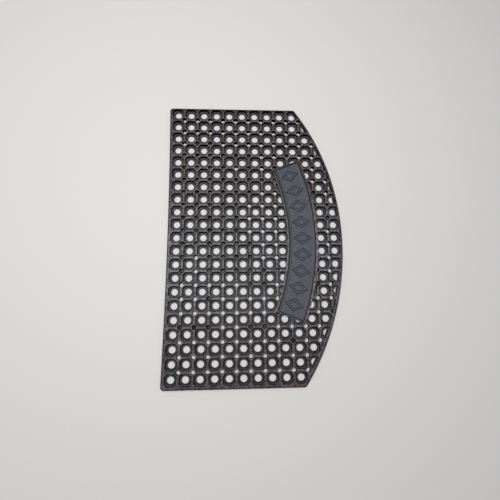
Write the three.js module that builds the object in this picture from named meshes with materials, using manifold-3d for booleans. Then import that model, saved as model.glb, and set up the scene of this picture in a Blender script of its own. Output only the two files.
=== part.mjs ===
// A half-round hollow doormat, moulded in one piece of black rubber.
//
// Millimetres, +Z up. The mat lies flat with its underside on z = 0 and the origin under
// the middle of its outline. Y runs along the straight long edge, which is on the -X side.
// The curved long edge is on the +X side, and the upper end is the one on the +Y side. The
// net of cells lies a little nearer to the upper end, so the rim is thin there. Everything is
// drawn on an even plan first, and each point of the plan is then moved to where it lies.

import * as THREE from 'three';
import { mergeGeometries, mergeVertices } from 'three/addons/utils/BufferGeometryUtils.js';
import { ConvexGeometry } from 'three/addons/geometries/ConvexGeometry.js';
import Module from 'manifold-3d';

// Outline of the even plan
const LENGTH = 738;
const WIDTH = 460;
const THICKNESS = 10;
const CURVE_RADIUS = 641;
const CURVE_SHIFT = -3;
const CORNER_RADIUS = 7;
const RIM_WIDTH = 6;

// How far each long side lies drawn in at its middle and spread at its ends
const DRAWN_IN = 1.9;
const SPREAD_OUT = 2.5;

// Net of square cells, each a recess with its corners cut off, that narrows to a hole
const PITCH = 35;
const COLUMNS = 13;
const ROWS = 21;
const FIRST_COLUMN_INSET = 21;
const FIRST_ROW_INSET = 17;
const CELL_WIDTH = 29.2;
const HOLE_WIDTH = 17.4;
const CORNER_CUT = 5.1;

// Eyes, the round gaps where four cells meet
const EYE_DIAMETER = 10.4;
const EYE_SIDES = 6;

// Eyes that are open, by the row of cells above them and the columns of cells to their left
const OPEN_EYES = [
  { row: 0, from: 0, to: 8 },
  { row: 1, from: 0, to: 9 },
  { row: 2, from: 0, to: 0 },
  { row: 2, from: 3, to: 10 },
  { row: 3, from: 6, to: 7 },
  { row: 3, from: 9, to: 10 },
  { row: 16, from: 3, to: 4 },
  { row: 16, from: 7, to: 8 },
  { row: 16, from: 10, to: 10 },
  { row: 17, from: 0, to: 7 },
  { row: 17, from: 9, to: 10 },
  { row: 18, from: 0, to: 9 },
  { row: 19, from: 0, to: 9 },
];

// Curved panel, a sunk plate in a raised frame, bent like the curved edge
const PANEL_INNER_RADIUS = 501;
const PANEL_OUTER_RADIUS = 569.5;
const PANEL_HALF_ANGLE = THREE.MathUtils.degToRad(22.1);
const FRAME_WIDTH = 5.2;
const FRAME_END_WIDTH = 2.5;
const RELIEF_DEPTH = 1;

// Row of plain lozenges, raised on the panel to the level of its frame
const LOZENGES = 9;
const LOZENGE_SPACING = 44;
const LOZENGE_LENGTH = 44;
const LOZENGE_WIDTH = 30;

// Steps of the faceted curves, and how far a cutter runs past the faces that it cuts
const SIDE_STEPS = 12;
const CURVE_STEPS = 36;
const CORNER_STEPS = 3;
const PANEL_STEPS = 18;
const NET_STEPS = 50;
const NET_HALF_ANGLE = THREE.MathUtils.degToRad(50);
const OVERCUT = 1;

const CURVE_CENTRE_X = WIDTH / 2 - CURVE_RADIUS;
const PANEL_MIDDLE_RADIUS = (PANEL_INNER_RADIUS + PANEL_OUTER_RADIUS) / 2;

const wasm = await Module();
wasm.setup();

// Closed solid of a geometry, for cutting and joining
function solidOf(geometry) {
  geometry.deleteAttribute('normal');
  geometry.deleteAttribute('uv');
  const merged = mergeVertices(geometry);
  const vertProperties = new Float32Array(merged.attributes.position.array);
  const triVerts = new Uint32Array(merged.index.array);
  return new wasm.Manifold(new wasm.Mesh({ numProp: 3, vertProperties, triVerts }));
}

// Flat outline raised from one level to another
function prism(shape, bottom, top) {
  const geometry = new THREE.ExtrudeGeometry(shape, { depth: top - bottom, bevelEnabled: false });
  return geometry.translate(0, 0, bottom);
}

// Points along an arc, angles in radians
function arcPoints(x, y, radius, start, end, steps) {
  const curve = new THREE.EllipseCurve(x, y, radius, radius, start, end, end < start);
  return curve.getPoints(steps);
}

// Place of a point of the even plan on the mat as it lies, with the box still centred
function lay({ x, y }) {
  const across = x / (WIDTH / 2);
  const along = y / (LENGTH / 2 - CORNER_RADIUS);
  const give = DRAWN_IN + SPREAD_OUT;
  return new THREE.Vector2(x + across * (give * along ** 2 - DRAWN_IN) + give / 2, y);
}

// Half-round outline: a long side, two level ends and a curved side, with round corners
function matShape() {
  const side = -WIDTH / 2 + CORNER_RADIUS;
  const end = LENGTH / 2 - CORNER_RADIUS;
  const reach = CURVE_RADIUS - CORNER_RADIUS;
  const lower = Math.asin((-end - CURVE_SHIFT) / reach);
  const upper = Math.asin((end - CURVE_SHIFT) / reach);
  const turn = (angle) => CURVE_CENTRE_X + reach * Math.cos(angle);
  const curve = arcPoints(CURVE_CENTRE_X, CURVE_SHIFT, CURVE_RADIUS, lower, upper, CURVE_STEPS);
  const longSide = new THREE.LineCurve(
    new THREE.Vector2(-WIDTH / 2, end),
    new THREE.Vector2(-WIDTH / 2, -end),
  );
  const outline = [
    ...arcPoints(side, -end, CORNER_RADIUS, Math.PI, 1.5 * Math.PI, CORNER_STEPS),
    ...arcPoints(turn(lower), -end, CORNER_RADIUS, -0.5 * Math.PI, lower, CORNER_STEPS),
    ...curve.slice(1, -1),
    ...arcPoints(turn(upper), end, CORNER_RADIUS, upper, 0.5 * Math.PI, CORNER_STEPS),
    ...arcPoints(side, end, CORNER_RADIUS, 0.5 * Math.PI, Math.PI, CORNER_STEPS),
    ...longSide.getPoints(SIDE_STEPS).slice(1, -1),
  ];
  return new THREE.Shape(outline.map(lay));
}

// Area of the net, up to the inner side of the curved rim and past the other sides
function netShape() {
  const radius = CURVE_RADIUS - RIM_WIDTH;
  const area = [
    ...arcPoints(CURVE_CENTRE_X, 0, radius, -NET_HALF_ANGLE, NET_HALF_ANGLE, NET_STEPS),
    new THREE.Vector2(-WIDTH, LENGTH),
    new THREE.Vector2(-WIDTH, -LENGTH),
  ];
  return new THREE.Shape(area.map(lay));
}

// Part of a ring between two radii, an equal angle to each side of the X axis
function bandShape(inner, outer, angle) {
  const band = [
    ...arcPoints(CURVE_CENTRE_X, 0, outer, -angle, angle, PANEL_STEPS),
    ...arcPoints(CURVE_CENTRE_X, 0, inner, angle, -angle, PANEL_STEPS),
  ];
  return new THREE.Shape(band.map(lay));
}

// Point of the panel at a radius and a distance along its middle line
function panelPoint(radius, along) {
  const angle = along / PANEL_MIDDLE_RADIUS;
  return lay({ x: CURVE_CENTRE_X + radius * Math.cos(angle), y: radius * Math.sin(angle) });
}

// Middle of a cell, or of the eye beyond it where the steps are half ones
function netPoint(column, row) {
  return lay({
    x: -WIDTH / 2 + FIRST_COLUMN_INSET + column * PITCH,
    y: LENGTH / 2 - FIRST_ROW_INSET - row * PITCH,
  });
}

// Octagon of a cell at one level, a square with its corners cut off
function cellSection(width, z) {
  const long = width / 2;
  const short = long - CORNER_CUT;
  const quarter = [[long, short], [short, long]];
  const signs = [[1, 1], [-1, 1], [-1, -1], [1, -1]];
  return signs.flatMap(([sx, sy]) => quarter.map(([x, y]) => new THREE.Vector3(sx * x, sy * y, z)));
}

// Cutter of one cell, from the hole in its floor out to its full width at the top
function cellCutter() {
  return new ConvexGeometry([
    ...cellSection(HOLE_WIDTH, 0),
    ...cellSection(CELL_WIDTH, THICKNESS),
  ]);
}

function eyeCutter() {
  const radius = EYE_DIAMETER / 2;
  const geometry = new THREE.CylinderGeometry(radius, radius, THICKNESS, EYE_SIDES);
  return geometry.rotateX(Math.PI / 2).translate(0, 0, THICKNESS / 2);
}

// Every gap of the net, trimmed by the curved rim and by the panel's frame
function netGaps() {
  const cutters = [];
  for (let row = 0; row < ROWS; row += 1) {
    for (let column = 0; column < COLUMNS; column += 1) {
      const { x, y } = netPoint(column, row);
      cutters.push(cellCutter().translate(x, y, 0));
    }
  }
  for (const { row, from, to } of OPEN_EYES) {
    for (let column = from; column <= to; column += 1) {
      const { x, y } = netPoint(column + 0.5, row + 0.5);
      cutters.push(eyeCutter().toNonIndexed().translate(x, y, 0));
    }
  }
  for (const cutter of cutters) {
    cutter.deleteAttribute('normal');
    cutter.deleteAttribute('uv');
  }
  const netBlock = solidOf(prism(netShape(), -OVERCUT, THICKNESS + OVERCUT));
  const frame = bandShape(
    PANEL_INNER_RADIUS - FRAME_WIDTH,
    PANEL_OUTER_RADIUS + FRAME_WIDTH,
    PANEL_HALF_ANGLE + FRAME_END_WIDTH / PANEL_MIDDLE_RADIUS,
  );
  const frameBlock = solidOf(prism(frame, -OVERCUT, THICKNESS + OVERCUT));
  return solidOf(mergeGeometries(cutters)).intersect(netBlock).subtract(frameBlock);
}

// Sunk face of the panel, with the raised lozenges left standing on it
function panelRecess() {
  const floor = THICKNESS - RELIEF_DEPTH;
  const band = bandShape(PANEL_INNER_RADIUS, PANEL_OUTER_RADIUS, PANEL_HALF_ANGLE);
  let recess = solidOf(prism(band, floor, THICKNESS + OVERCUT));
  for (let index = 0; index < LOZENGES; index += 1) {
    const along = (index - (LOZENGES - 1) / 2) * LOZENGE_SPACING;
    const lozenge = new THREE.Shape([
      panelPoint(PANEL_MIDDLE_RADIUS + LOZENGE_LENGTH / 2, along),
      panelPoint(PANEL_MIDDLE_RADIUS, along + LOZENGE_WIDTH / 2),
      panelPoint(PANEL_MIDDLE_RADIUS - LOZENGE_LENGTH / 2, along),
      panelPoint(PANEL_MIDDLE_RADIUS, along - LOZENGE_WIDTH / 2),
    ]);
    const raised = solidOf(prism(lozenge, floor - OVERCUT, THICKNESS + 2 * OVERCUT));
    recess = recess.subtract(raised);
  }
  return recess;
}

const plate = solidOf(prism(matShape(), 0, THICKNESS));
const mat = plate.subtract(netGaps()).subtract(panelRecess());

const mesh = mat.getMesh();
const geometry = new THREE.BufferGeometry();
geometry.setAttribute('position', new THREE.BufferAttribute(mesh.vertProperties, 3));
geometry.setIndex(new THREE.BufferAttribute(mesh.triVerts, 1));

const rubber = new THREE.MeshStandardMaterial({ color: 0x26262a, roughness: 0.6, metalness: 0 });
const matMesh = new THREE.Mesh(geometry, rubber);
matMesh.name = 'mat';

const group = new THREE.Group();
group.add(matMesh);

export default group;
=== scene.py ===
# A half-round hollow doormat, moulded in one piece of black rubber, on a plain pale floor.
#
# Metres, +Z up. The mat lies with its underside on z = 0. Its long side is on the -X side, its
# curved side on the +X side, and its upper end is the one on the +Y side. The mat is modelled
# on an even plan first, and its points are then moved to where they lie.

import math
import random

import bmesh
import bpy
from mathutils import Matrix, Vector


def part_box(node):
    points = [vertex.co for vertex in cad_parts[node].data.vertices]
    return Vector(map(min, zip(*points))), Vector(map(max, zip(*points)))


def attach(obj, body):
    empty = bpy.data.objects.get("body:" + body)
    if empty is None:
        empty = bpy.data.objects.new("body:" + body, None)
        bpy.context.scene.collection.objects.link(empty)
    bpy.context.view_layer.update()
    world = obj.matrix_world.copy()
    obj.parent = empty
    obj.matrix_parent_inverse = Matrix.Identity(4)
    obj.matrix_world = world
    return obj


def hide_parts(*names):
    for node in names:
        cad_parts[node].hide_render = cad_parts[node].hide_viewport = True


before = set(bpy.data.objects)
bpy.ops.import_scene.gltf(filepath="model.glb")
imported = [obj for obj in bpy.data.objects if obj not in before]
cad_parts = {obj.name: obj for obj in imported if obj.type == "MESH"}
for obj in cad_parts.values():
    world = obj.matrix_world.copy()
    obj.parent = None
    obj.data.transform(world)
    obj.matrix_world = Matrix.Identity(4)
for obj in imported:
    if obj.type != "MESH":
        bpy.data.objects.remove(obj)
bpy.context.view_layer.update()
random.seed(7)

MM = 0.001

# How far each long side lies drawn in at its middle and spread at its ends
DRAWN_IN = 1.9 * MM
SPREAD_OUT = 2.5 * MM

# Outline of the even plan
LOW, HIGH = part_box("mat")
LENGTH = HIGH.y - LOW.y
WIDTH = HIGH.x - LOW.x - SPREAD_OUT + DRAWN_IN
TOP = HIGH.z
CURVE_RADIUS = 641 * MM
CURVE_SHIFT = -3 * MM
CURVE_CENTRE = Vector((WIDTH / 2 - CURVE_RADIUS, 0, 0))
CORNER_RADIUS = 7 * MM
RIM_WIDTH = 6 * MM
RIM_BULGE = 1.1 * MM
RIM_ROUNDING = 1.2 * MM
RIM_LEDGE = 2 * MM
SOLE_ROUNDING = 0.4 * MM
CURVE_STEPS = 144
CORNER_STEPS = 5
SIDE_STEPS = 24
DISC_STEPS = 360
SAME_PLACE = 0.01 * MM
SAME_LEVEL = MM / 10

# Net of square cells, each a recess with cut corners, a thin floor and a lipped round hole
PITCH = 35 * MM
COLUMNS = 13
ROWS = 21
FIRST_COLUMN_X = -WIDTH / 2 + 21 * MM
FIRST_ROW_Y = LENGTH / 2 - 17 * MM
RIB_TOP = TOP - 0.3 * MM
EDGE = 0.5 * MM
OVERCUT = 0.2 * MM
CELL_HALF = 14.6 * MM
CELL_DRAFT = 0.5 * MM
CELL_EDGE = 1.1 * MM
CORNER_CUT = 6.6 * MM
WEB_TOP = 2.3 * MM
WEB_RISE = 0.2 * MM
FOOT_WIDTH = 1.6 * MM
FOOT_HEIGHT = 0.8 * MM
HOLE_RADIUS = 8.7 * MM
HOLE_SIDES = 16
LIP_HEIGHT = 0.7 * MM
LIP_WIDTH = 0.9 * MM
LIP_SLOPE = 0.8 * MM

# Eyes, the round gaps where four cells meet, each in a low collar; a closed one has a flash
EYE_RADIUS = 5.5 * MM
EYE_FLARE = 1.8 * MM
EYE_SIDES = 16
COLLAR_RADIUS = 8.8 * MM
COLLAR_DEPTH = 1 * MM
FLASH_THINNEST = 2.0 * MM
FLASH_THICKEST = 3.2 * MM
SPOT_SHIFT = Vector((0.9 * MM, 0.5 * MM, 0))
SPOT_RADIUS = 3 * MM

# Open eyes, by the row of cells above them and the columns of cells to their left
OPEN_EYES = [
    {"row": 0, "columns": range(0, 10)},
    {"row": 1, "columns": range(0, 10)},
    {"row": 2, "columns": [0, *range(3, 11)]},
    {"row": 3, "columns": [6, 7, 9, 10]},
    {"row": 4, "columns": [4, 6, 10]},
    {"row": 5, "columns": [10, 11]},
    {"row": 6, "columns": [6, 7, 11]},
    {"row": 7, "columns": [5, 6, 7]},
    {"row": 8, "columns": [5, 6, 7]},
    {"row": 9, "columns": [5, 6, 7, 11]},
    {"row": 10, "columns": [6, 7, 11]},
    {"row": 11, "columns": [1, 6, 7, 11]},
    {"row": 12, "columns": [1, 11]},
    {"row": 13, "columns": [*range(0, 5), 7, 11]},
    {"row": 14, "columns": [0, 1, *range(3, 8), 10, 11]},
    {"row": 15, "columns": [*range(0, 7), 10]},
    {"row": 16, "columns": [3, 4, 7, 8, 9, 10]},
    {"row": 17, "columns": [*range(0, 8), 9, 10]},
    {"row": 18, "columns": range(0, 10)},
    {"row": 19, "columns": range(0, 10)},
]

# Curved panel, a sunk plate in a raised frame
PANEL_INNER_RADIUS = 499 * MM
PANEL_OUTER_RADIUS = 571 * MM
PANEL_MIDDLE_RADIUS = (PANEL_INNER_RADIUS + PANEL_OUTER_RADIUS) / 2
PANEL_HALF_WIDTH = (PANEL_OUTER_RADIUS - PANEL_INNER_RADIUS) / 2
PANEL_HALF_ANGLE = math.radians(22.1)
PANEL_STEPS = 72
FRAME_WIDTH = 5.2 * MM
FRAME_INNER_RADIUS = PANEL_INNER_RADIUS + 0.8 * MM
FRAME_END_WIDTH = 2.5 * MM
FRAME_DEPTH = 1 * MM
PANEL_TOP = TOP - 1 * MM
GROOVE_WIDTH = 2.7 * MM
INNER_GROOVE_WIDTH = 4 * MM
GROOVE_DEPTH = 1.0 * MM
BORDER_WIDTH = 3 * MM
LINE_WIDTH = 1.4 * MM
LINE_DEPTH = 0.6 * MM
PLATE_ROOT = 1 * MM

# Row of plain lozenges on the panel
LOZENGES = 9
LOZENGE_SPACING = 44 * MM
LOZENGE_LENGTH = 44 * MM
LOZENGE_WIDTH = 30 * MM
LOZENGE_BAND = 4.5 * MM
LOZENGE_LINE = 2.1 * MM
LOZENGE_DEPTH = 1.5 * MM
MOAT_WIDTH = 2.0 * MM
MOAT_DEPTH = 0.7 * MM

# Colours of the rubber, dusty where it faces up
# Walls are near black: the rubber's own black, made darker than on the floors as painted shade
WALL_COLOUR = (0.003, 0.003, 0.003, 1)
# Cell floors are darker at the lower end of the mat and lighter above it
WEB_COLOUR = (0.0105, 0.0100, 0.0112, 1)
WEB_UPPER_COLOUR = (0.034, 0.033, 0.035, 1)
# Painted highlight on the lip round a hole
LIP_HIGHLIGHT_COLOUR = (0.085, 0.085, 0.086, 1)
FLASH_COLOUR = (0.012, 0.012, 0.012, 1)
FLASH_DUSTY_COLOUR = (0.090, 0.087, 0.085, 1)
SPOT_COLOUR = (0.125, 0.120, 0.116, 1)
# Flanks and crests are dusty at the ends of the mat and lighter in its middle rows as painted
# sheen; the crest's lighter line is a painted highlight
FLANK_COLOUR = (0.062, 0.060, 0.058, 1)
FLANK_DUST_AND_SHEEN_COLOUR = (0.090, 0.090, 0.091, 1)
CREST_COLOUR = (0.062, 0.059, 0.057, 1)
CREST_DUST_AND_SHEEN_COLOUR = (0.142, 0.141, 0.142, 1)
# Collar tops are dusty and painted lighter as a highlight, more so over the upper part of the mat
COLLAR_DUST_AND_HIGHLIGHT_COLOUR = (0.118, 0.115, 0.113, 1)
COLLAR_UPPER_HIGHLIGHT_COLOUR = (0.180, 0.172, 0.168, 1)
# The panel goes from its own colour at its inner side to a lighter one towards its outer side
PANEL_COLOUR = (0.073, 0.078, 0.101, 1)
PANEL_OUTER_COLOUR = (0.078, 0.082, 0.103, 1)
# Below these levels the panel's sunk grooves and lines take the wall's near black, as painted
# shade
PANEL_FACE_START = PANEL_TOP - 0.4 * MM
PANEL_FACE_FULL = PANEL_TOP - 0.1 * MM
PANEL_SHADE_START = 35 * MM
PANEL_SHADE_END = 75 * MM

# Finish of the rubber; flash in a closed eye is duller than the rest
ROUGHNESS = 0.5
RUBBER_GLOSS = 0.33
FLASH_DULLNESS = 0.25
PANEL_GLOSS = 0.3

# Dust lies on faces that look up; faces that lean to the upper end count as flatter, so those
# that lean to the lower end are painted darker, as painted shade from a light at the upper end
LIGHT_SIDE_LEAN = 0.45
DUST_AND_SHADE_START = 0.5
DUST_AND_SHADE_FULL = 0.85

# Levels between which the cell floors end and the tops of the ribs begin
HIGH_START = 7 * MM
HIGH_FULL = 9 * MM

# Distances from a cell's middle lines at which the crest of a rib begins, and how soft marks are
CREST_START = 15.9 * MM
CREST_FULL = 16.7 * MM
MARK_SOFTNESS = 0.4 * MM
TURN_SOFTNESS = 0.001

# Marks round a hole, each from and to a distance past its edge, with a softness and a shade: the
# lip's painted highlight, painted shade in the crease at the lip's foot, and a ring of painted
# highlight beyond it
LIP_HIGHLIGHT_REACH = 1.5 * MM
FOOT_CREASE_SHADE = {"start": 1.6 * MM, "end": 2.6 * MM, "soft": 0.5 * MM, "shade": (0.55, 0.55, 0.55, 1)}
PALE_RING_HIGHLIGHT = {"start": 3 * MM, "end": 4.2 * MM, "soft": 0.8 * MM, "shade": (1.6, 1.6, 1.6, 1)}

# Painted shade on a cell floor along its walls
BORDER_START = 12 * MM
BORDER_FULL = 13.4 * MM
BORDER_PAINTED_SHADE = (0.38, 0.38, 0.38, 1)

# Edges of the flash and of the lighter spot on it
FLASH_SOFTNESS = 0.3 * MM
SPOT_SOFTNESS = 1.5 * MM

# Eyes have collars from this far off the straight edges of the mat
EYES_START = 11.5 * MM
EYES_FULL = 12.5 * MM

# Painted shade along the mat's outer edge, and painted shade on the rim at its upper end and on
# its curve
EDGE_MARK_START = 3 * MM
EDGE_MARK_FULL = 1 * MM
EDGE_PAINTED_SHADE = (0.4, 0.4, 0.4, 1)
SHADED_RIM_OUTSIDE = 0.4 * MM
SHADED_RIM_INSIDE = 1.2 * MM
SHADED_RIM_FROM_Y = -130 * MM
SHADED_RIM_FULL_Y = -70 * MM
SHADED_RIM_TONE = (0.55, 0.55, 0.55, 1)

# Kinds of uneven dust, and how much detail and contrast each has
DUST_KINDS = (("Blotches", 45), ("Grain", 170), ("Hue", 75))
DUST_DETAIL = 2
DUST_LOW = 0.35
DUST_HIGH = 0.65

# Where masks along the mat's length rise or fall, each from one Y to the other: the rising one
# lightens the cell floors and the flash above the lower end, the rising one times the falling one
# is the band of painted sheen in its middle, and the upper one carries the collars' painted
# highlight
RISING_Y = (-310 * MM, -100 * MM)
FALLING_Y = (175 * MM, -25 * MM)
UPPER_Y = (-20 * MM, 200 * MM)

# Tint of the rubber and of the panel where there is least and most of a kind of dust, or of the
# band of painted sheen
RUBBER_TINTS = (
    ("Blotches", (0.96, 0.96, 0.96, 1), (1.16, 1.16, 1.16, 1)),
    ("Grain", (1.55, 1.55, 1.55, 1), (0.5, 0.5, 0.5, 1)),
    ("Hue", (1.09, 0.985, 0.93, 1), (0.92, 0.995, 1.09, 1)),
    ("Middle", (1.1, 0.98, 1.0, 1), (0.99, 1.0, 1.01, 1)),
)
PANEL_TINTS = (
    ("Grain", (1.12, 1.12, 1.12, 1), (0.85, 0.85, 0.85, 1)),
    ("Hue", (1.07, 1.0, 0.98, 1), (0.93, 1.02, 1.06, 1)),
)

# Sharpest bend that still looks smooth
SMOOTH_ANGLE = math.radians(40)

# Plain floor, a little cooler under the mat
FLOOR_REACH = 6
FLOOR_LEVEL = -0.05 * MM
FLOOR_COLOUR = (0.78, 0.765, 0.74, 1)
FLOOR_UNDER_COLOUR = (0.78, 0.77, 0.79, 1)
FLOOR_FADE = 10 * MM
FLOOR_ROUGHNESS = 0.6

# Light of the room, and a soft box over the mat
ROOM_BRIGHTNESS = 0.25
LAMP_LENGTH = 1.4
LAMP_WIDTH = 1.2
LAMP_POWER = 36
LAMP_PLACE = (-0.3, 0.28, 2.1)

# Camera, its lens in millimetres and its turn in degrees
CAMERA_PLACE = (-0.0496, -0.1589, 0.758)
CAMERA_TURN = (9.67, -2.63, -0.671)
CAMERA_LENS = 21.085
CAMERA_SENSOR = 36
CAMERA_NEAREST = 0.05


def lay(point):
    """Place of a point of the even plan on the mat as it lies"""
    across = point.x / (WIDTH / 2)
    along = point.y / (LENGTH / 2 - CORNER_RADIUS)
    give = DRAWN_IN + SPREAD_OUT
    moved = point.x + across * (give * along**2 - DRAWN_IN) + give / 2
    return Vector((moved, point.y, point.z))


def net_point(column, row):
    """Middle of a cell, or of the eye beyond it where the steps are half ones"""
    return Vector((FIRST_COLUMN_X + column * PITCH, FIRST_ROW_Y - row * PITCH, 0))


def curve_point(radius, angle):
    return CURVE_CENTRE + Vector((radius * math.cos(angle), radius * math.sin(angle), 0))


def made(name, bm):
    """Object of a finished bmesh"""
    bmesh.ops.recalc_face_normals(bm, faces=bm.faces)
    mesh = bpy.data.meshes.new(name)
    bm.to_mesh(mesh)
    bm.free()
    thing = bpy.data.objects.new(name, mesh)
    bpy.context.scene.collection.objects.link(thing)
    return thing


def combine(thing, tool, operation):
    """The first object joined with the second, cut by it or kept inside it"""
    modifier = thing.modifiers.new("combine", "BOOLEAN")
    modifier.operation = operation
    modifier.solver = "MANIFOLD"
    modifier.object = tool
    evaluated = thing.evaluated_get(bpy.context.evaluated_depsgraph_get())
    mesh = bpy.data.meshes.new_from_object(evaluated)
    thing.modifiers.clear()
    old = thing.data
    thing.data = mesh
    mesh.name = thing.name
    bpy.data.meshes.remove(old)
    tool_mesh = tool.data
    bpy.data.objects.remove(tool)
    bpy.data.meshes.remove(tool_mesh)


def verts_of(geometry):
    return [item for item in geometry if isinstance(item, bmesh.types.BMVert)]


def edges_of(geometry):
    return [item for item in geometry if isinstance(item, bmesh.types.BMEdge)]


def faces_of(geometry):
    return [item for item in geometry if isinstance(item, bmesh.types.BMFace)]


def outer_edges(verts):
    """Edges that join these vertices, in an order that is the same each run"""
    inside = set(verts)
    linked = [edge for vert in verts for edge in vert.link_edges if set(edge.verts) <= inside]
    return list(dict.fromkeys(linked))


def round_start(bm, sides, radius, level):
    place = Matrix.Translation((0, 0, level)) @ Matrix.Rotation(math.pi / sides, 4, "Z")
    loop = bmesh.ops.create_circle(bm, radius=radius, segments=sides, matrix=place)
    return outer_edges(loop["verts"])


def square_start(bm, half, level):
    """Square with its corners cut off"""
    place = Matrix.Translation((0, 0, level)) @ Matrix.Rotation(math.pi / 4, 4, "Z")
    loop = bmesh.ops.create_circle(
        bm, cap_ends=True, radius=half * math.sqrt(2), segments=4, matrix=place
    )
    cut = bmesh.ops.bevel(
        bm, geom=loop["verts"], offset=CORNER_CUT * half / CELL_HALF, offset_type="OFFSET",
        affect="VERTICES", segments=1, profile=0.5, material=-1,
    )
    edges = outer_edges(cut["verts"])
    faces = dict.fromkeys(face for edge in edges for face in edge.link_faces)
    bmesh.ops.delete(bm, geom=list(faces), context="FACES_ONLY")
    return edges


def grow(bm, edges, size, profile):
    """Walls from a loop of this size through each size and level, and the last loop"""
    for new_size, level in profile:
        wall = bmesh.ops.extrude_edge_only(bm, edges=edges)["geom"]
        edges = edges_of(wall)
        scale = Vector((new_size / size, new_size / size, 1))
        bmesh.ops.scale(bm, vec=scale, verts=verts_of(wall))
        for vert in verts_of(wall):
            vert.co.z = level
        size = new_size
    return edges


def round_form(sides, profile):
    """Closed solid of round sections, each a radius and a level"""
    bm = bmesh.new()
    start = round_start(bm, sides, *profile[0])
    end = grow(bm, start, profile[0][0], profile[1:])
    bmesh.ops.edgeloop_fill(bm, edges=start)
    bmesh.ops.edgeloop_fill(bm, edges=end)
    return bm


def cell_form():
    """What is missing from a cell: a hole inside a lip, and a recess that flares at its edge"""
    bm = bmesh.new()
    lip_top = WEB_TOP + LIP_HEIGHT
    lip_reach = HOLE_RADIUS + LIP_WIDTH
    half = CELL_HALF - CELL_DRAFT
    rise = TOP + OVERCUT - RIB_TOP
    bottom = round_start(bm, HOLE_SIDES, HOLE_RADIUS, -OVERCUT)
    foot = grow(bm, bottom, HOLE_RADIUS, [
        (HOLE_RADIUS, lip_top),
        (lip_reach, lip_top),
        (lip_reach + LIP_SLOPE, WEB_TOP + WEB_RISE),
    ])
    corner = square_start(bm, half - FOOT_WIDTH, WEB_TOP)
    top = grow(bm, corner, half - FOOT_WIDTH, [
        (half, WEB_TOP + FOOT_HEIGHT),
        (CELL_HALF - CELL_EDGE / 2, RIB_TOP - CELL_EDGE),
        (CELL_HALF + CELL_EDGE / 2 + rise, RIB_TOP + rise),
    ])
    bmesh.ops.bridge_loops(bm, edges=foot + corner)
    bmesh.ops.edgeloop_fill(bm, edges=bottom)
    bmesh.ops.edgeloop_fill(bm, edges=top)
    return bm


def eye_form(bottom):
    """What is missing from an eye, down to a level"""
    return round_form(EYE_SIDES, [
        (EYE_RADIUS, bottom),
        (EYE_RADIUS, TOP - EYE_FLARE),
        (EYE_RADIUS + EYE_FLARE + OVERCUT, TOP + OVERCUT),
    ])


def collar_form():
    return round_form(EYE_SIDES, [
        (COLLAR_RADIUS, RIB_TOP - COLLAR_DEPTH),
        (COLLAR_RADIUS, TOP - EDGE / 2),
        (COLLAR_RADIUS - EDGE / 2, TOP),
    ])


def add_copy(bm, form, place):
    """A copy of a form, moved to a place"""
    mesh = bpy.data.meshes.new("form")
    form.to_mesh(mesh)
    mesh.transform(Matrix.Translation(place))
    bm.from_mesh(mesh)
    bpy.data.meshes.remove(mesh)


def eyes():
    """Middle of every eye, and whether it is open"""
    opened = {(entry["row"], column) for entry in OPEN_EYES for column in entry["columns"]}
    for row in range(ROWS - 1):
        for column in range(COLUMNS - 1):
            yield net_point(column + 0.5, row + 0.5), (row, column) in opened


def reaches_net(point):
    """Whether a cell or an eye with this middle reaches into the net's area"""
    return (point - CURVE_CENTRE).length < CURVE_RADIUS + PITCH / 2


def net_cutter():
    """Every gap of the net, trimmed by the curved rim and by the panel's frame"""
    bm = bmesh.new()
    cell = cell_form()
    for row in range(ROWS):
        for column in range(COLUMNS):
            place = net_point(column, row)
            if reaches_net(place):
                add_copy(bm, cell, place)
    cell.free()
    for place, is_open in eyes():
        if reaches_net(place):
            flash = random.uniform(FLASH_THINNEST, FLASH_THICKEST)
            eye = eye_form(-OVERCUT if is_open else flash)
            add_copy(bm, eye, place)
            eye.free()
    cutter = made("net_cutter", bm)

    radius = CURVE_RADIUS - RIM_WIDTH
    margin = TOP + 2 * OVERCUT - RIB_TOP + EDGE
    bm = round_form(DISC_STEPS, [
        (radius - RIM_LEDGE, -2 * OVERCUT),
        (radius - RIM_LEDGE, WEB_TOP),
        (radius, WEB_TOP + FOOT_HEIGHT),
        (radius, RIB_TOP - EDGE),
        (radius + margin, RIB_TOP - EDGE + margin),
    ])
    bmesh.ops.translate(bm, vec=CURVE_CENTRE, verts=bm.verts)
    combine(cutter, made("net_area", bm), "INTERSECT")

    combine(cutter, band_solid("frame_block", [
        (FRAME_WIDTH, FRAME_END_WIDTH, -2 * OVERCUT),
        (FRAME_WIDTH, FRAME_END_WIDTH, TOP + 2 * OVERCUT),
    ], FRAME_INNER_RADIUS), "DIFFERENCE")
    return cutter


def band_solid(name, profile, inner=PANEL_INNER_RADIUS, outer=PANEL_OUTER_RADIUS):
    """Bent block between two radii, as long as the panel: each row says how far it reaches past
    its sides and past the panel's ends, and at what level"""
    bm = bmesh.new()
    bmesh.ops.create_grid(bm, x_segments=1, y_segments=PANEL_STEPS, size=1)
    bottom = bm.faces[:]
    top = bottom
    for _ in profile[1:]:
        raised = bmesh.ops.extrude_face_region(bm, geom=top)["geom"]
        bmesh.ops.translate(bm, vec=(0, 0, 1), verts=verts_of(raised))
        if top is not bottom:
            bmesh.ops.delete(bm, geom=top, context="FACES_ONLY")
        top = faces_of(raised)
    for vert in bm.verts:
        side, end, level = profile[round(vert.co.z)]
        radius = (inner + outer) / 2 + vert.co.x * ((outer - inner) / 2 + side)
        angle = vert.co.y * (PANEL_HALF_ANGLE + end / PANEL_MIDDLE_RADIUS)
        vert.co = curve_point(radius, angle) + Vector((0, 0, level))
    return made(name, bm)


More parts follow.
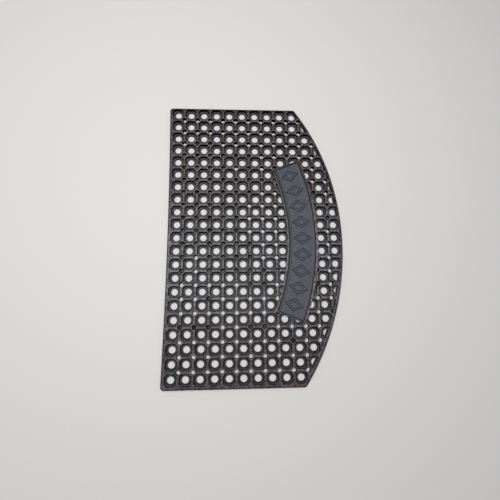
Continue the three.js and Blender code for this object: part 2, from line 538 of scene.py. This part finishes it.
def trace_arc(bm, centre, radius, start, end, steps):
    first = bm.verts.new(centre + radius * Vector((math.cos(start), math.sin(start), 0)))
    bmesh.ops.spin(
        bm, geom=[first], cent=centre, axis=(0, 0, 1), angle=end - start, steps=steps
    )


def split(bm, point, across):
    """Cut through every face along a plane, which keeps the large faces small"""
    everything = [*bm.verts, *bm.edges, *bm.faces]
    bmesh.ops.bisect_plane(bm, geom=everything, plane_co=point, plane_no=across)


def plate():
    """Solid of the outline, rounded along its upper edge"""
    side = -WIDTH / 2 + CORNER_RADIUS
    end = LENGTH / 2 - CORNER_RADIUS
    reach = CURVE_RADIUS - CORNER_RADIUS
    centre = CURVE_CENTRE + Vector((0, CURVE_SHIFT, 0))
    lower = math.asin((-end - CURVE_SHIFT) / reach)
    upper = math.asin((end - CURVE_SHIFT) / reach)
    lower_turn = Vector((centre.x + reach * math.cos(lower), -end, 0))
    upper_turn = Vector((centre.x + reach * math.cos(upper), end, 0))
    quarter = math.pi / 2
    corner = CORNER_RADIUS + RIM_BULGE
    bm = bmesh.new()
    trace_arc(bm, Vector((side, -end, 0)), corner, -2 * quarter, -quarter, CORNER_STEPS)
    trace_arc(bm, lower_turn, corner, -quarter, lower, CORNER_STEPS)
    trace_arc(bm, centre, CURVE_RADIUS + RIM_BULGE, lower, upper, CURVE_STEPS)
    trace_arc(bm, upper_turn, corner, upper, quarter, CORNER_STEPS)
    trace_arc(bm, Vector((side, end, 0)), corner, quarter, 2 * quarter, CORNER_STEPS)
    bmesh.ops.remove_doubles(bm, verts=bm.verts, dist=SAME_PLACE)
    face = bm.faces.new(bm.verts)
    long_side = [edge for edge in face.edges if edge.calc_length() > LENGTH / 2]
    bmesh.ops.subdivide_edges(bm, edges=long_side, cuts=SIDE_STEPS - 1)
    raised = bmesh.ops.extrude_face_region(bm, geom=bm.faces[:])["geom"]
    bmesh.ops.translate(bm, vec=(0, 0, RIB_TOP), verts=verts_of(raised))
    for level, rounding, segments in ((RIB_TOP, RIM_ROUNDING, 2), (0, SOLE_ROUNDING, 1)):
        at_level = {vert for vert in bm.verts if abs(vert.co.z - level) < SAME_LEVEL}
        rim = [edge for edge in bm.edges if set(edge.verts) <= at_level]
        bmesh.ops.bevel(
            bm, geom=rim, offset=rounding, offset_type="OFFSET", affect="EDGES",
            segments=segments, profile=0.5, material=-1,
        )
    for column in range(COLUMNS):
        split(bm, net_point(column, 0), (1, 0, 0))
    for row in range(ROWS):
        split(bm, net_point(0, row), (0, 1, 0))
    return made("mat_dressed", bm)


def collars():
    """A low ring round each eye that lies whole inside the net"""
    bm = bmesh.new()
    form = collar_form()
    for place, _ in eyes():
        if (place - CURVE_CENTRE).length < CURVE_RADIUS - COLLAR_RADIUS - RIM_ROUNDING:
            add_copy(bm, form, place)
    form.free()
    return made("collars", bm)


def panel_steps():
    """Blocks to cut away and to add, in turn: the groove, the plate and a fine line along it"""
    groove_floor = PANEL_TOP - GROOVE_DEPTH
    yield "DIFFERENCE", band_solid("groove", [
        (0, 0, groove_floor),
        (0, 0, TOP - EDGE),
        (EDGE + OVERCUT, EDGE + OVERCUT, TOP + OVERCUT),
    ])
    inner = PANEL_INNER_RADIUS + INNER_GROOVE_WIDTH
    yield "UNION", band_solid("plate", [
        (0, -GROOVE_WIDTH, groove_floor - PLATE_ROOT),
        (0, -GROOVE_WIDTH, PANEL_TOP - EDGE / 2),
        (-EDGE / 2, -GROOVE_WIDTH - EDGE / 2, PANEL_TOP),
    ], inner, PANEL_OUTER_RADIUS - GROOVE_WIDTH)
    end = -GROOVE_WIDTH - BORDER_WIDTH
    start = inner + BORDER_WIDTH
    yield "DIFFERENCE", band_solid("line", [
        (0, end, PANEL_TOP - LINE_DEPTH),
        (0, end, PANEL_TOP + OVERCUT),
    ], start, start + LINE_WIDTH)


def lozenge(long, wide, bottom, top):
    """Lozenge of these half sizes, and its upper face"""
    bm = bmesh.new()
    corners = [(long, 0, bottom), (0, wide, bottom), (-long, 0, bottom), (0, -wide, bottom)]
    base = bm.faces.new([bm.verts.new(corner) for corner in corners])
    raised = bmesh.ops.extrude_face_region(bm, geom=[base])["geom"]
    bmesh.ops.translate(bm, vec=(0, 0, top - bottom), verts=verts_of(raised))
    return bm, faces_of(raised)


def moat_form():
    """Cutter of the groove round a lozenge"""
    spread = MOAT_WIDTH * math.hypot(1 / LOZENGE_LENGTH, 1 / LOZENGE_WIDTH)
    long = LOZENGE_LENGTH * (0.5 + spread)
    wide = LOZENGE_WIDTH * (0.5 + spread)
    return lozenge(long, wide, PANEL_TOP - MOAT_DEPTH, TOP + OVERCUT)[0]


def lozenge_form():
    """Raised lozenge with a sunk line inside its band, its length along X"""
    bottom = PANEL_TOP - 2 * MOAT_DEPTH
    bm, top = lozenge(LOZENGE_LENGTH / 2, LOZENGE_WIDTH / 2, bottom, TOP - EDGE / 2)
    bmesh.ops.inset_region(bm, faces=top, thickness=EDGE / 2, depth=EDGE / 2)
    bmesh.ops.inset_region(bm, faces=top, thickness=LOZENGE_BAND)
    bmesh.ops.inset_region(bm, faces=top, thickness=LOZENGE_LINE / 3, depth=-LOZENGE_DEPTH)
    bmesh.ops.inset_region(bm, faces=top, thickness=LOZENGE_LINE / 3)
    bmesh.ops.inset_region(bm, faces=top, thickness=LOZENGE_LINE / 3, depth=LOZENGE_DEPTH)
    return bm


def lozenge_row(name, form):
    """A copy of the form at each place of a lozenge"""
    mesh = bpy.data.meshes.new("form")
    form.to_mesh(mesh)
    form.free()
    bm = bmesh.new()
    for index in range(LOZENGES):
        angle = (index - (LOZENGES - 1) / 2) * LOZENGE_SPACING / PANEL_MIDDLE_RADIUS
        place = Matrix.Translation(curve_point(PANEL_MIDDLE_RADIUS, angle))
        turned = place @ Matrix.Rotation(angle, 4, "Z")
        mesh.transform(turned)
        bm.from_mesh(mesh)
        mesh.transform(turned.inverted())
    bpy.data.meshes.remove(mesh)
    return made(name, bm)


def is_panel(point):
    """Whether a point of the mesh is on the panel's plate or in the groove round it"""
    away = point - CURVE_CENTRE
    beside = abs(away.xy.length - PANEL_MIDDLE_RADIUS) < PANEL_HALF_WIDTH + OVERCUT
    angle = abs(math.atan2(away.y, away.x))
    return beside and angle < PANEL_HALF_ANGLE + OVERCUT / PANEL_MIDDLE_RADIUS


def doormat():
    mat = plate()
    combine(mat, collars(), "UNION")
    combine(mat, band_solid("frame", [
        (FRAME_WIDTH, FRAME_END_WIDTH, RIB_TOP - FRAME_DEPTH),
        (FRAME_WIDTH, FRAME_END_WIDTH, TOP - EDGE),
        (FRAME_WIDTH - EDGE, FRAME_END_WIDTH - EDGE, TOP),
    ], FRAME_INNER_RADIUS), "UNION")
    combine(mat, net_cutter(), "DIFFERENCE")
    for operation, block in panel_steps():
        combine(mat, block, operation)
    combine(mat, lozenge_row("moats", moat_form()), "DIFFERENCE")
    combine(mat, lozenge_row("lozenges", lozenge_form()), "UNION")

    mesh = mat.data
    mesh.materials.clear()
    dust = dust_group()
    net = net_group()
    mesh.materials.append(rubber_material(net, dust))
    mesh.materials.append(panel_material(net, dust))
    for polygon in mesh.polygons:
        corners = [mesh.vertices[index].co for index in polygon.vertices]
        above = min(corner.z for corner in corners) > PANEL_TOP - 2 * GROOVE_DEPTH
        polygon.material_index = int(above and all(is_panel(corner) for corner in corners))
    plan = mesh.attributes.new("plan", "FLOAT_VECTOR", "POINT")
    for vert, entry in zip(mesh.vertices, plan.data):
        entry.vector = vert.co
        vert.co = lay(vert.co)
    mesh.shade_smooth()
    mesh.set_sharp_from_angle(angle=SMOOTH_ANGLE)
    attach(mat, "root")
    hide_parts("mat")
    return mat


def new_material(name):
    material = bpy.data.materials.new(name)
    material.use_nodes = True
    tree = material.node_tree
    return material, tree, tree.nodes["Principled BSDF"]


def calculated(tree, operation, first, second=0.0):
    """Output of a math node, each input a socket or a number"""
    node = tree.nodes.new("ShaderNodeMath")
    node.operation = operation
    for entry, value in zip(node.inputs, (first, second)):
        if isinstance(value, bpy.types.NodeSocket):
            tree.links.new(value, entry)
        else:
            entry.default_value = value
    return node.outputs[0]


def vector_calculated(tree, operation, *values):
    """Output of a vector math node, each input a socket or a vector"""
    node = tree.nodes.new("ShaderNodeVectorMath")
    node.operation = operation
    for entry, value in zip(node.inputs, values):
        if isinstance(value, bpy.types.NodeSocket):
            tree.links.new(value, entry)
        else:
            entry.default_value = value
    return node.outputs["Value" if operation == "LENGTH" else "Vector"]


def step_up(tree, value, start, end):
    """Mask that rises smoothly from 0 to 1 between two values"""
    node = tree.nodes.new("ShaderNodeMapRange")
    node.interpolation_type = "SMOOTHSTEP"
    node.inputs["From Min"].default_value = start
    node.inputs["From Max"].default_value = end
    tree.links.new(value, node.inputs["Value"])
    return node.outputs["Result"]


def between(tree, value, low, high, soft):
    """Mask of the values from low to high"""
    above = step_up(tree, value, low - soft / 2, low + soft / 2)
    below = step_up(tree, value, high + soft / 2, high - soft / 2)
    return calculated(tree, "MULTIPLY", above, below)


def blended(tree, mask, first, second, blend="MIX"):
    """Colour that goes from the first to the second as the mask rises"""
    node = tree.nodes.new("ShaderNodeMix")
    node.data_type = "RGBA"
    node.blend_type = blend
    entries = (node.inputs[0], node.inputs[6], node.inputs[7])
    for entry, value in zip(entries, (mask, first, second)):
        if isinstance(value, bpy.types.NodeSocket):
            tree.links.new(value, entry)
        else:
            entry.default_value = value
    return node.outputs[2]


def separated(tree, vector):
    """The three parts of a vector"""
    node = tree.nodes.new("ShaderNodeSeparateXYZ")
    tree.links.new(vector, node.inputs[0])
    return node.outputs


def new_group(name, sockets):
    """Group of nodes with these outputs, and a function that sets one of them"""
    group = bpy.data.node_groups.new(name, "ShaderNodeTree")
    for socket in sockets:
        group.interface.new_socket(socket, in_out="OUTPUT", socket_type="NodeSocketFloat")
    output = group.nodes.new("NodeGroupOutput")
    return group, lambda socket, value: group.links.new(value, output.inputs[socket])


def net_group():
    """Where a point lies: its level over the floor, how far it is from the nearest cell's and the
    nearest eye's middle, from the lighter spot in the eye and from the outline, how far it is out
    from the inner side of the panel, whether it is where eyes are, and whether it is on the part
    of the rim painted in shade, at its upper end and on its curve"""
    group, give = new_group("place in the net", (
        "Level", "Cell Distance", "Cell Reach", "Eye Distance", "Spot Distance", "Rim Distance",
        "Shaded Rim", "Across Panel", "Among Eyes",
    ))
    plan = group.nodes.new("ShaderNodeAttribute")
    plan.attribute_name = "plan"
    x, y, z = separated(group, plan.outputs["Vector"])
    give("Level", z)
    flat = vector_calculated(group, "MULTIPLY", plan.outputs["Vector"], (1, 1, 0))
    half = Vector((PITCH / 2, PITCH / 2, 0))
    for name, start in (
        ("Spot Distance", net_point(0.5, 0.5) + SPOT_SHIFT),
        ("Eye Distance", net_point(0.5, 0.5)),
        ("Cell Distance", net_point(0, 0)),
    ):
        shifted = vector_calculated(group, "SUBTRACT", flat, start)
        wrapped = vector_calculated(group, "WRAP", shifted, half, -half)
        give(name, vector_calculated(group, "LENGTH", wrapped))
    # The loop ends with the cells, so this is the reach from a cell's middle
    sides = separated(group, vector_calculated(group, "ABSOLUTE", wrapped))
    give("Cell Reach", calculated(group, "MAXIMUM", sides[0], sides[1]))

    middle = CURVE_CENTRE + Vector((0, CURVE_SHIFT, 0))
    away = vector_calculated(group, "LENGTH", vector_calculated(group, "SUBTRACT", flat, middle))
    curve = calculated(group, "SUBTRACT", CURVE_RADIUS, away)
    end = calculated(group, "SUBTRACT", LENGTH / 2, calculated(group, "ABSOLUTE", y))
    side = calculated(group, "ADD", x, WIDTH / 2)
    far = calculated(group, "MINIMUM", curve, end)
    out = vector_calculated(group, "SUBTRACT", flat, CURVE_CENTRE)
    radius = vector_calculated(group, "LENGTH", out)
    give("Across Panel", calculated(group, "SUBTRACT", radius, PANEL_INNER_RADIUS))
    turn = calculated(group, "ARCTAN2", y, separated(group, out)[0])
    turn = calculated(group, "ABSOLUTE", turn)
    frame_angle = PANEL_HALF_ANGLE + FRAME_END_WIDTH / PANEL_MIDDLE_RADIUS
    along = step_up(group, turn, frame_angle + TURN_SOFTNESS, frame_angle)
    inner = FRAME_INNER_RADIUS - FRAME_WIDTH
    across = between(group, radius, inner, PANEL_OUTER_RADIUS + FRAME_WIDTH, MARK_SOFTNESS)
    off_frame = calculated(group, "SUBTRACT", 1.0, calculated(group, "MULTIPLY", along, across))
    off_rim = step_up(group, calculated(group, "MINIMUM", end, side), EYES_START, EYES_FULL)
    give("Among Eyes", calculated(group, "MULTIPLY", off_frame, off_rim))
    give("Rim Distance", calculated(group, "MINIMUM", far, side))
    # The rim painted in shade: near the curve or an end, above the lower part of the mat
    on_rim = step_up(group, far, RIM_WIDTH + SHADED_RIM_OUTSIDE, RIM_WIDTH - SHADED_RIM_INSIDE)
    shaded_stretch = step_up(group, y, SHADED_RIM_FROM_Y, SHADED_RIM_FULL_Y)
    give("Shaded Rim", calculated(group, "MULTIPLY", on_rim, shaded_stretch))
    return group


def dust_group():
    """Uneven dust in blotches, in grain and in hue, and masks along the mat's length: the band of
    painted sheen in its middle, a rise above its lower end, and its upper part, where the
    collars' painted highlight grows"""
    group, give = new_group("dust", ("Blotches", "Grain", "Hue", "Middle", "Rising", "Upper Highlight"))
    coordinates = group.nodes.new("ShaderNodeTexCoord").outputs["Object"]
    for name, scale in DUST_KINDS:
        noise = group.nodes.new("ShaderNodeTexNoise")
        noise.inputs["Scale"].default_value = scale
        noise.inputs["Detail"].default_value = DUST_DETAIL
        group.links.new(coordinates, noise.inputs["Vector"])
        give(name, step_up(group, noise.outputs["Fac"], DUST_LOW, DUST_HIGH))
    y = separated(group, coordinates)[1]
    rising = step_up(group, y, *RISING_Y)
    falling = step_up(group, y, *FALLING_Y)
    give("Rising", rising)
    give("Middle", calculated(group, "MULTIPLY", rising, falling))
    give("Upper Highlight", step_up(group, y, *UPPER_Y))
    return group


def grouped(tree, group):
    node = tree.nodes.new("ShaderNodeGroup")
    node.node_tree = group
    return node


def marked(tree, colour, mask, level, second, blend="MIX"):
    """The colour with the second one on the part of the level that is in the mask"""
    return blended(tree, calculated(tree, "MULTIPLY", mask, level), colour, second, blend)


def tinted(tree, colour, marks, tints):
    """The colour times each tint, which goes from its first to its second with that dust"""
    for mark, first, second in tints:
        tint = blended(tree, marks[mark], first, second)
        colour = blended(tree, 1.0, colour, tint, "MULTIPLY")
    return colour


def marked_floors(tree, faces, place, low):
    """Cell floors with the lip painted lighter as a highlight, painted shade in the crease at the
    lip's foot, a ring of painted highlight beyond it, and painted shade along the walls
    """
    away = place["Cell Distance"]
    # Painted shade at the lip's foot, then a ring of painted highlight
    for mark in (FOOT_CREASE_SHADE, PALE_RING_HIGHLIGHT):
        start = HOLE_RADIUS + mark["start"]
        ring = between(tree, away, start, HOLE_RADIUS + mark["end"], mark["soft"])
        faces = marked(tree, faces, ring, low, mark["shade"], "MULTIPLY")
    # Painted shade along the walls of the cell
    border = step_up(tree, place["Cell Reach"], BORDER_START, BORDER_FULL)
    faces = marked(tree, faces, border, low, BORDER_PAINTED_SHADE, "MULTIPLY")
    # Painted highlight on the lip round the hole
    lip = between(tree, away, HOLE_RADIUS, HOLE_RADIUS + LIP_HIGHLIGHT_REACH, MARK_SOFTNESS)
    return marked(tree, faces, lip, low, LIP_HIGHLIGHT_COLOUR)


def marked_eyes(tree, faces, place, marks, high, flash):
    """Dusty flash in the closed eyes, with a lighter spot on it, and a collar round every eye,
    dusty and painted lighter as a highlight
    """
    spot = step_up(tree, place["Spot Distance"], SPOT_RADIUS, SPOT_RADIUS - SPOT_SOFTNESS)
    spot = calculated(tree, "MULTIPLY", spot, marks["Hue"])
    spot = calculated(tree, "MULTIPLY", spot, marks["Rising"])
    dusty = calculated(tree, "MULTIPLY", marks["Blotches"], marks["Rising"])
    thin = blended(tree, dusty, FLASH_COLOUR, FLASH_DUSTY_COLOUR)
    faces = blended(tree, flash, faces, blended(tree, spot, thin, SPOT_COLOUR))
    # Painted highlight on the collars, stronger over the upper part of the mat
    pale = blended(tree, marks["Upper Highlight"], COLLAR_DUST_AND_HIGHLIGHT_COLOUR, COLLAR_UPPER_HIGHLIGHT_COLOUR)
    eyes_here = calculated(tree, "MULTIPLY", high, place["Among Eyes"])
    collar = between(tree, place["Eye Distance"], EYE_RADIUS, COLLAR_RADIUS, MARK_SOFTNESS)
    return marked(tree, faces, collar, eyes_here, pale)


def rubber_material(net, dust):
    material, tree, shader = new_material("dusty black rubber")
    place = grouped(tree, net).outputs
    marks = grouped(tree, dust).outputs
    normal = tree.nodes.new("ShaderNodeNewGeometry").outputs["True Normal"]
    lean = separated(tree, normal)
    # Leaning to the upper end counts as facing up, so faces that lean to the lower end take the
    # wall's colour as painted shade
    facing = calculated(tree, "ADD", lean[2], calculated(tree, "MULTIPLY", lean[1], LIGHT_SIDE_LEAN))
    upward = step_up(tree, facing, DUST_AND_SHADE_START, DUST_AND_SHADE_FULL)
    high = step_up(tree, place["Level"], HIGH_START, HIGH_FULL)
    low = calculated(tree, "SUBTRACT", 1.0, high)
    raised = step_up(tree, place["Level"], RIB_TOP, TOP)

    web = blended(tree, marks["Rising"], WEB_COLOUR, WEB_UPPER_COLOUR)
    # Painted sheen: flanks and crests are lighter in the band of middle rows
    flank = blended(tree, marks["Middle"], FLANK_COLOUR, FLANK_DUST_AND_SHEEN_COLOUR)
    crest = blended(tree, marks["Middle"], CREST_COLOUR, CREST_DUST_AND_SHEEN_COLOUR)
    ridge = step_up(tree, place["Cell Reach"], CREST_START, CREST_FULL)
    ridge = calculated(tree, "MAXIMUM", ridge, raised)
    faces = blended(tree, high, web, blended(tree, ridge, flank, crest))
    faces = marked_floors(tree, faces, place, low)

    flash = step_up(tree, place["Eye Distance"], EYE_RADIUS + FLASH_SOFTNESS, EYE_RADIUS)
    flash = calculated(tree, "MULTIPLY", flash, low)
    faces = marked_eyes(tree, faces, place, marks, high, flash)
    # Painted shade along the outer edge of the mat
    edge = step_up(tree, place["Rim Distance"], EDGE_MARK_START, EDGE_MARK_FULL)
    faces = marked(tree, faces, edge, high, EDGE_PAINTED_SHADE, "MULTIPLY")
    # Painted shade on the rim at its upper end and on its curve
    faces = marked(tree, faces, place["Shaded Rim"], high, SHADED_RIM_TONE, "MULTIPLY")
    faces = tinted(tree, faces, marks, RUBBER_TINTS)
    tree.links.new(blended(tree, upward, WALL_COLOUR, faces), shader.inputs["Base Color"])

    dull = calculated(tree, "MULTIPLY", flash, FLASH_DULLNESS)
    gloss = calculated(tree, "SUBTRACT", RUBBER_GLOSS, dull)
    gloss = calculated(tree, "MULTIPLY", upward, gloss)
    tree.links.new(gloss, shader.inputs["Specular IOR Level"])
    shader.inputs["Roughness"].default_value = ROUGHNESS
    return material


def panel_material(net, dust):
    material, tree, shader = new_material("smooth grey rubber")
    place = grouped(tree, net).outputs
    marks = grouped(tree, dust).outputs
    outward = step_up(tree, place["Across Panel"], PANEL_SHADE_START, PANEL_SHADE_END)
    face = blended(tree, outward, PANEL_COLOUR, PANEL_OUTER_COLOUR)
    face = tinted(tree, face, marks, PANEL_TINTS)
    # Painted shade: the sunk grooves and lines of the panel take the wall's near black
    raised = step_up(tree, place["Level"], PANEL_FACE_START, PANEL_FACE_FULL)
    tree.links.new(blended(tree, raised, WALL_COLOUR, face), shader.inputs["Base Color"])
    shader.inputs["Specular IOR Level"].default_value = PANEL_GLOSS
    shader.inputs["Roughness"].default_value = ROUGHNESS
    return material


def floor():
    bm = bmesh.new()
    bmesh.ops.create_grid(bm, x_segments=1, y_segments=1, size=FLOOR_REACH)
    plain = made("floor", bm)
    material, tree, shader = new_material("pale floor")
    coordinates = tree.nodes.new("ShaderNodeTexCoord").outputs["Object"]
    away = vector_calculated(tree, "SUBTRACT", coordinates, CURVE_CENTRE)
    away = vector_calculated(tree, "LENGTH", away)
    inside = step_up(tree, away, CURVE_RADIUS, CURVE_RADIUS - FLOOR_FADE)
    side = step_up(tree, separated(tree, coordinates)[0], -WIDTH / 2, -WIDTH / 2 + FLOOR_FADE)
    along = calculated(tree, "ABSOLUTE", separated(tree, coordinates)[1])
    end = step_up(tree, along, LENGTH / 2, LENGTH / 2 - FLOOR_FADE)
    under = calculated(tree, "MULTIPLY", calculated(tree, "MULTIPLY", inside, side), end)
    colour = blended(tree, under, FLOOR_COLOUR, FLOOR_UNDER_COLOUR)
    tree.links.new(colour, shader.inputs["Base Color"])
    shader.inputs["Roughness"].default_value = FLOOR_ROUGHNESS
    plain.data.materials.append(material)
    plain.location.z = FLOOR_LEVEL


def lights():
    world = bpy.data.worlds.new("soft room")
    world.use_nodes = True
    background = world.node_tree.nodes["Background"]
    background.inputs["Color"].default_value = (1, 1, 1, 1)
    background.inputs["Strength"].default_value = ROOM_BRIGHTNESS
    bpy.context.scene.world = world
    lamp = bpy.data.lights.new("soft box", "AREA")
    lamp.shape = "RECTANGLE"
    lamp.size = LAMP_LENGTH
    lamp.size_y = LAMP_WIDTH
    lamp.energy = LAMP_POWER
    box = bpy.data.objects.new("soft box", lamp)
    box.location = LAMP_PLACE
    bpy.context.scene.collection.objects.link(box)


def camera():
    lens = bpy.data.cameras.new("camera")
    lens.lens = CAMERA_LENS
    lens.sensor_width = CAMERA_SENSOR
    lens.clip_start = CAMERA_NEAREST
    eye = bpy.data.objects.new("camera", lens)
    eye.location = CAMERA_PLACE
    eye.rotation_euler = [math.radians(angle) for angle in CAMERA_TURN]
    bpy.context.scene.collection.objects.link(eye)
    bpy.context.scene.camera = eye


camera()
lights()
floor()
doormat()
bpy.context.scene.view_settings.view_transform = "Standard"
